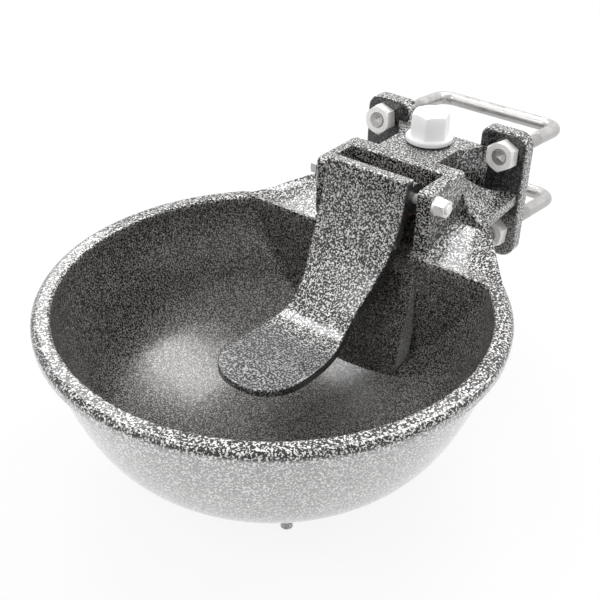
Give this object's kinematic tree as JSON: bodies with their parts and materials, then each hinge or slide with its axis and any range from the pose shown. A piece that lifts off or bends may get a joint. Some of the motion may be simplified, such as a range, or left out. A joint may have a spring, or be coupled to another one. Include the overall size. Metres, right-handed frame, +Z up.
{
  "type": "livestock drinking bowl",
  "caption": "Cast-iron drinking bowl for livestock with a tongue-operated valve, clamped to a post by U-bolts; water comes in from below or above.",
  "frame": {"origin": "middle of the four clamp holes, on the back face of the clamp plate", "axes": "+Z up; +Y out of the plate's back face towards the post, so the bowl lies at -Y; X = 0 is the plane of symmetry"},
  "size_m": [0.256, 0.3825, 0.1594],
  "materials": {
    "hammered_paint": "hammered two-tone paint, silver flecks on black",
    "hammered_paint_tongue": "hammered two-tone paint, silver flecks on black",
    "zinc": "bright zinc plate",
    "zinc_bar": "bright zinc plate on drawn bar",
    "valve_brass": "machined brass",
    "seal_rubber": "black rubber",
    "spring_steel": "drawn stainless wire",
    "strainer_steel": "perforated stainless sheet",
    "stem_steel": "turned stainless steel",
    "plug_plastic": "white moulded plastic"
  },
  "bodies": {
    "bowl": {"bowl_casting": "hammered_paint", "hinge_bolt": "zinc", "hinge_washer": "zinc", "hinge_nut": "zinc", "upper_u_bolt": "zinc_bar", "lower_u_bolt": "zinc_bar", "upper_left_clamp_nut": "zinc", "upper_right_clamp_nut": "zinc", "lower_left_clamp_nut": "zinc", "lower_right_clamp_nut": "zinc", "valve_body": "valve_brass", "valve_gasket": "seal_rubber", "valve_spring": "spring_steel", "spring_retainer": "valve_brass", "valve_strainer": "strainer_steel", "inlet_plug": "plug_plastic", "plug_gasket": "seal_rubber"},
    "tongue": {"tongue": "hammered_paint_tongue"},
    "stem": {"valve_stem": "stem_steel", "valve_seal": "seal_rubber"}
  },
  "joints": [
    {"name": "tongue_hinge", "type": "hinge", "parent": "bowl", "child": "tongue", "pos_m": [0, -0.083, 0.0195], "axis": [1, 0, 0], "range_deg": [0, 10], "stiffness_Nm_per_rad": 1, "springref_deg": -28.65},
    {"name": "stem_slide", "type": "slide", "parent": "bowl", "child": "stem", "axis": [0, 1, 0], "range_m": [0, 0.004], "deforming": ["valve_spring"]}
  ],
  "couplings": [
    {"joint": "stem_slide", "follows": "tongue_hinge", "m_per_rad": 0.0224}
  ]
}
